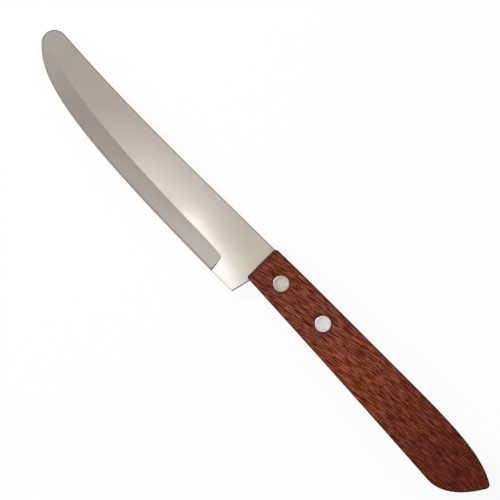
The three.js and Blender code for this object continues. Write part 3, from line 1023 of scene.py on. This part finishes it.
def wood_shade_and_rings(network, place, normal):
    """How dark the wood is painted: painted shade on rounded edges and the front end, and darker rings round
    the rivets.
    """
    lean = abs(network.part(normal, "Z"))
    end_grain = network.ease(abs(network.part(normal, "X")), *END_GRAIN_LEAN)
    rounded = network.ease(lean, *ROUND_STARTS) * network.ease(lean, *ROUND_ENDS)
    # Painted shade on the rounded edges, deeper on end grain, which is also darker in itself.
    edge = rounded * (EDGE_SHADE + end_grain * END_GRAIN_STAIN_AND_SHADE)
    radius = RIVET_HEAD_DIAMETER / 2 * MM
    distance = rivet_distance(network, place)
    ring = network.ease(distance, radius + RING_WIDTH, radius) * RIVET_RING_DARKNESS
    halo = network.ease(distance, radius + HALO_END, radius + HALO_START) * RIVET_HALO_DARKNESS
    # Painted shade along the front end.
    front = network.ease(network.part(place, "X"), *FRONT_EDGE) * FRONT_EDGE_SHADE
    return edge.larger(ring).larger(halo).larger(front)


print("grain slope:", GRAIN_SLOPE, "at the front")

# %% [markdown]
# The wood's figure is built up like thin coats: wavy lines and long streaks, pale flecks of painted sheen,
# darker mottling and drifts of warmer and cooler brown. One noise gives both the flecks, where it is low,
# and the pores, where it is high. A fine tooth comes last. Along the handle the brown is darker at both ends
# and cooler round the rear rivet. Each pattern has a length and a width in millimetres, so that it can be
# measured on a real piece of wood.

# %% Wood finish
WOOD_DARK = (0.1, 0.004, 0.0005, 1.0)
WOOD_PALE = (0.335, 0.08, 0.026, 1.0)
WOOD_PAINTED_SHEEN = (0.44, 0.17, 0.105, 1.0)
WOOD_MOTTLE = (0.07, 0.009, 0.007, 1.0)
WARM_TINT = (1.06, 1.05, 0.8, 1.0)
COOL_TINT = (0.95, 0.9, 1.1, 1.0)
FRONT_TINT = (0.69, 0.65, 0.72, 1.0)
REAR_RIVET_TINT = (0.83, 0.89, 1.1, 1.0)
BUTT_TINT = (0.465, 0.315, 0.29, 1.0)
PORE_COLOUR = (0.05, 0.004, 0.002, 1.0)
DARKENED_WOOD = (0.02, 0.004, 0.002, 1.0)
TOOTH_LOW = (0.79, 0.66, 0.57, 1.0)
TOOTH_HIGH = (1.13, 1.23, 1.29, 1.0)
DRIFT_SIZE = (12, 3.5)
MOTTLE_SIZE = (3.6, 1.8)
MOTTLE_ROUGHNESS = 0.6
LINE_SIZE = (14, 3)
LINE_WAVES = {"Scale": 1.0, "Distortion": 9.0, "Detail": 2.0, "Detail Scale": 2.0}
LINE_SHARE = 0.24
STREAK_SIZE = (6.0, 0.38)
FLECK_SIZE = (4.2, 0.32)
TOOTH_SIZE = (0.7, 0.25)
COARSE_DETAIL = 2.0
STREAK_DETAIL = 1.0
NO_DETAIL = 0.0
PALE_SPAN = (0.47, 0.77)
SHEEN_FLECK_SPAN = (0.45, 0.35)
SHEEN_FLECK_SHARE = 0.5
PORE_SPAN = (0.55, 0.65)
PORE_SHARE = 0.7
MOTTLE_SPAN = (0.54, 0.68)
MOTTLE_SHARE = 0.4
EVEN_SPAN = (0.35, 0.65)
TO_FRONT = stretch_of(40, 0)
TO_BUTT = stretch_of(25, 118)
TO_REAR_RIVET = stretch_of(12, 26)
PAST_REAR_RIVET = stretch_of(42, 34)
WOOD_ROUGHNESS = 0.5
PORE_DULLNESS = 0.2
PALE_GLOSS = 0.06
WOOD_SPECULAR = 0.1
WOOD_BUMP = 0.35
WOOD_BUMP_DEPTH = 0.06 * MM
PALE_HEIGHT = 0.5


def on_grain(network, grain, size):
    """Coordinates along the grain, measured in a pattern's length and width."""
    length, width = size
    return network.stretch(grain, (length * MM, width * MM, width * MM))


def tint_along_handle(network, place, colour):
    lengthwise = network.part(place, "X")
    colour = network.blend(network.ease(lengthwise, *TO_FRONT), colour, FRONT_TINT, "MULTIPLY")
    by_rear_rivet = network.ease(lengthwise, *TO_REAR_RIVET) * network.ease(lengthwise, *PAST_REAR_RIVET)
    colour = network.blend(by_rear_rivet, colour, REAR_RIVET_TINT, "MULTIPLY")
    return network.blend(network.ease(lengthwise, *TO_BUTT), colour, BUTT_TINT, "MULTIPLY")


def wood_finish():
    material, network = new_finish("oiled_hardwood")
    place = network.node("ShaderNodeTexCoord", {}, {}, "Object")
    normal = network.node("ShaderNodeTexCoord", {}, {}, "Normal")
    grain = along_grain(network, place, normal)
    drift = network.noise(on_grain(network, grain, DRIFT_SIZE), COARSE_DETAIL)
    mottle = network.noise(on_grain(network, grain, MOTTLE_SIZE), COARSE_DETAIL, MOTTLE_ROUGHNESS)
    lines = network.node("ShaderNodeTexWave", {"bands_direction": "Y"}, {
        "Vector": on_grain(network, grain, LINE_SIZE), **LINE_WAVES}, "Fac")
    streak = network.noise(on_grain(network, grain, STREAK_SIZE), STREAK_DETAIL)
    fleck = network.noise(on_grain(network, grain, FLECK_SIZE), NO_DETAIL)
    tooth = network.noise(on_grain(network, grain, TOOTH_SIZE), NO_DETAIL)
    pores = network.ease(fleck, *PORE_SPAN)
    pale = network.ease(streak + lines * LINE_SHARE, *PALE_SPAN)
    colour = network.blend(pale, WOOD_DARK, WOOD_PALE)
    # Pale flecks painted as sheen on the fibres.
    colour = network.blend(network.ease(fleck, *SHEEN_FLECK_SPAN) * SHEEN_FLECK_SHARE, colour, WOOD_PAINTED_SHEEN)
    colour = network.blend(network.ease(mottle, *MOTTLE_SPAN) * MOTTLE_SHARE, colour, WOOD_MOTTLE)
    tint = network.blend(network.ease(drift, *EVEN_SPAN), WARM_TINT, COOL_TINT)
    colour = network.blend(1.0, colour, tint, "MULTIPLY")
    colour = tint_along_handle(network, place, colour)
    colour = network.blend(pores * PORE_SHARE, colour, PORE_COLOUR)
    grit = network.blend(network.ease(tooth, *EVEN_SPAN), TOOTH_LOW, TOOTH_HIGH)
    colour = network.blend(1.0, colour, grit, "MULTIPLY")
    # Painted shade on the edges and the front end, and the darker rings round the rivets.
    colour = network.blend(wood_shade_and_rings(network, place, normal), colour, DARKENED_WOOD)
    roughness = WOOD_ROUGHNESS + pores * PORE_DULLNESS - pale * PALE_GLOSS
    network.surface(pale * PALE_HEIGHT - pores, WOOD_BUMP, WOOD_BUMP_DEPTH, {
        "Base Color": colour, "Roughness": roughness, "Specular IOR Level": WOOD_SPECULAR})
    return material


settle(handle, "handle", wood_finish())

# %% [markdown]
# Each rivet is a sleeve and a pin that are pressed into each other from both sides. Both are turned
# parts, so each starts as a cylinder for its head. Insets and extrusions then raise the shank from
# it and sink the sleeve's bore. The heads are sanded flush, with a slightly rounded rim, and the
# press leaves a shallow dish with a crisp ring round it.

# %% Rivet modelling
RIVET_RIM_RADIUS = 0.15
RIVET_RIM_STEPS = 5
RIVET_SLEEVE_FLOOR = 1
RIVET_PIN_DIAMETER = 2.6
RIVET_PIN_CHAMFER = 0.3
RIVET_SIDES = 96
DISH_STEPS = ((0.6, 0), (0.15, 0.03), (0.7, 0.01), (0.7, 0.005))
LEVEL_MARGIN = 0.01 * MM
FACING_LEAN = 0.999


def facing(direction, height):
    """A test for the flat faces at one height that look up (1) or down (-1)."""
    def wanted(face):
        level = abs(face.calc_center_median().z - height * MM) < LEVEL_MARGIN
        return level and face.normal.z * direction > FACING_LEAN
    return wanted


def push(distance):
    bpy.ops.mesh.extrude_region_move(TRANSFORM_OT_translate={"value": (0, 0, distance * MM)})


def turn_head(name):
    """A rivet head with its outer face at height 0, looking down, and its inner face selected."""
    bpy.ops.object.select_all(action="DESELECT")
    bpy.ops.mesh.primitive_cylinder_add(
        vertices=RIVET_SIDES,
        radius=RIVET_HEAD_DIAMETER / 2 * MM,
        depth=RIVET_HEAD_THICKNESS * MM,
        location=(0, 0, RIVET_HEAD_THICKNESS / 2 * MM),
    )
    bpy.ops.object.transform_apply(location=True, rotation=True, scale=True)
    head = bpy.context.object
    head.name = name
    with editing(head):
        choose(head, "EDGE", lambda edge: max(vertex.co.z for vertex in edge.verts) < LEVEL_MARGIN)
        bpy.ops.mesh.bevel(offset=RIVET_RIM_RADIUS * MM, segments=RIVET_RIM_STEPS, affect="EDGES")
        choose(head, "FACE", facing(-1, 0))
        for inset, sink in DISH_STEPS:
            bpy.ops.mesh.inset(thickness=inset * MM)
            bpy.ops.transform.translate(value=(0, 0, sink * MM))
    return head


def turn_sleeve(name):
    sleeve = turn_head(name)
    mouth = HANDLE_THICKNESS - RIVET_HEAD_THICKNESS - RIVET_CLEARANCE
    outer = RIVET_SLEEVE_DIAMETER / 2
    inner = RIVET_PIN_DIAMETER / 2 + RIVET_CLEARANCE
    with editing(sleeve):
        choose(sleeve, "FACE", facing(1, RIVET_HEAD_THICKNESS))
        bpy.ops.mesh.inset(thickness=(RIVET_HEAD_DIAMETER / 2 - outer) * MM)
        push(mouth - RIVET_HEAD_THICKNESS)
        bpy.ops.mesh.inset(thickness=(outer - inner) * MM)
        push(RIVET_HEAD_THICKNESS + RIVET_SLEEVE_FLOOR - mouth)
    return sleeve


def turn_pin(name):
    pin = turn_head(name)
    tip = HANDLE_THICKNESS - RIVET_HEAD_THICKNESS - RIVET_SLEEVE_FLOOR - RIVET_CLEARANCE
    with editing(pin):
        choose(pin, "FACE", facing(1, RIVET_HEAD_THICKNESS))
        bpy.ops.mesh.inset(thickness=(RIVET_HEAD_DIAMETER - RIVET_PIN_DIAMETER) / 2 * MM)
        push(tip - RIVET_PIN_CHAMFER - RIVET_HEAD_THICKNESS)
        push(RIVET_PIN_CHAMFER)
        shrink = 1 - 2 * RIVET_PIN_CHAMFER / RIVET_PIN_DIAMETER
        bpy.ops.transform.resize(value=(shrink, shrink, 1), center_override=(0, 0, tip * MM))
        bpy.ops.mesh.select_all(action="SELECT")
        bpy.ops.transform.rotate(
            value=math.pi, orient_axis="X", center_override=(0, 0, HANDLE_THICKNESS / 2 * MM))
    return pin


# %% [markdown]
# The rivets are soft aluminium, sanded with the wood. The faces show fine scratches, small dents and a
# cloudy grey. The front one is painted darker as shade and the rear one lighter as painted light. Next to
# the wood the rim has a warm tint. A plain grey would do from afar, but up close these marks tell soft metal
# from steel.

# %% Aluminium finish
ALUMINIUM_SHADED = (0.65, 0.64, 0.565, 1.0)
ALUMINIUM_LIT = (0.895, 0.905, 0.895, 1.0)
ALUMINIUM_CLOUD = (0.88, 0.9, 0.9, 1.0)
ALUMINIUM_RIM = (1.0, 0.81, 0.77, 1.0)
DENT_SIZE = (1.3 * MM, 1.3 * MM, 1.3 * MM)
DENT_DETAIL = 3.0
DENT_ROUGHNESS = 0.6
SCRATCH_SIZE = (1.5 * MM, 0.07 * MM, 1.5 * MM)
SCRATCH_DETAIL = 2.0
SCRATCH_DULLNESS = 0.14
SCRATCH_HEIGHT = 0.3
FRONT_TO_REAR = stretch_of(14, 28)
WARM_RIM = (1 * MM, 2.3 * MM)
REAR_RIM_LOSS = 0.4
ALUMINIUM_ROUGHNESS = 0.22
ALUMINIUM_BUMP = 0.08
ALUMINIUM_BUMP_DEPTH = 0.05 * MM


def aluminium_finish():
    material, network = new_finish("sanded_aluminium")
    place = network.node("ShaderNodeTexCoord", {}, {}, "Object")
    dents = network.noise(network.stretch(place, DENT_SIZE), DENT_DETAIL, DENT_ROUGHNESS)
    scratches = network.noise(network.stretch(place, SCRATCH_SIZE), SCRATCH_DETAIL)
    rear = network.ease(network.part(place, "X"), *FRONT_TO_REAR)
    # The front rivet is painted darker as shade, the rear one lighter as painted light.
    colour = network.blend(rear, ALUMINIUM_SHADED, ALUMINIUM_LIT)
    colour = network.blend(network.ease(dents, *EVEN_SPAN), colour, ALUMINIUM_CLOUD, "MULTIPLY")
    rim = network.ease(rivet_distance(network, place), *WARM_RIM)
    colour = network.blend(rim * (1 - rear * REAR_RIM_LOSS), colour, ALUMINIUM_RIM, "MULTIPLY")
    roughness = ALUMINIUM_ROUGHNESS + scratches * SCRATCH_DULLNESS
    network.surface(dents + scratches * SCRATCH_HEIGHT, ALUMINIUM_BUMP, ALUMINIUM_BUMP_DEPTH, {
        "Base Color": colour, "Metallic": 1.0, "Roughness": roughness})
    return material


# %% [markdown]
# Each rivet gets its own sleeve and its own pin, on the axis that the frame gives. The sleeve's head
# is flush with the handle's lower side and the pin's head with its upper side.

# %% Rivets in place
RIVET_SMOOTH_ANGLE = 30

aluminium = aluminium_finish()
for turn, half in ((turn_sleeve, "sleeve"), (turn_pin, "pin")):
    for name in RIVET_NAMES:
        rivet = turn(f"{name}_{half}_turned")
        weld(rivet)
        bpy.ops.object.shade_smooth_by_angle(angle=math.radians(RIVET_SMOOTH_ANGLE))
        axis = rivet_axis(name)
        rivet.location = (axis.x, axis.y, handle_low.z)
        settle(rivet, f"{name}_{half}", aluminium)
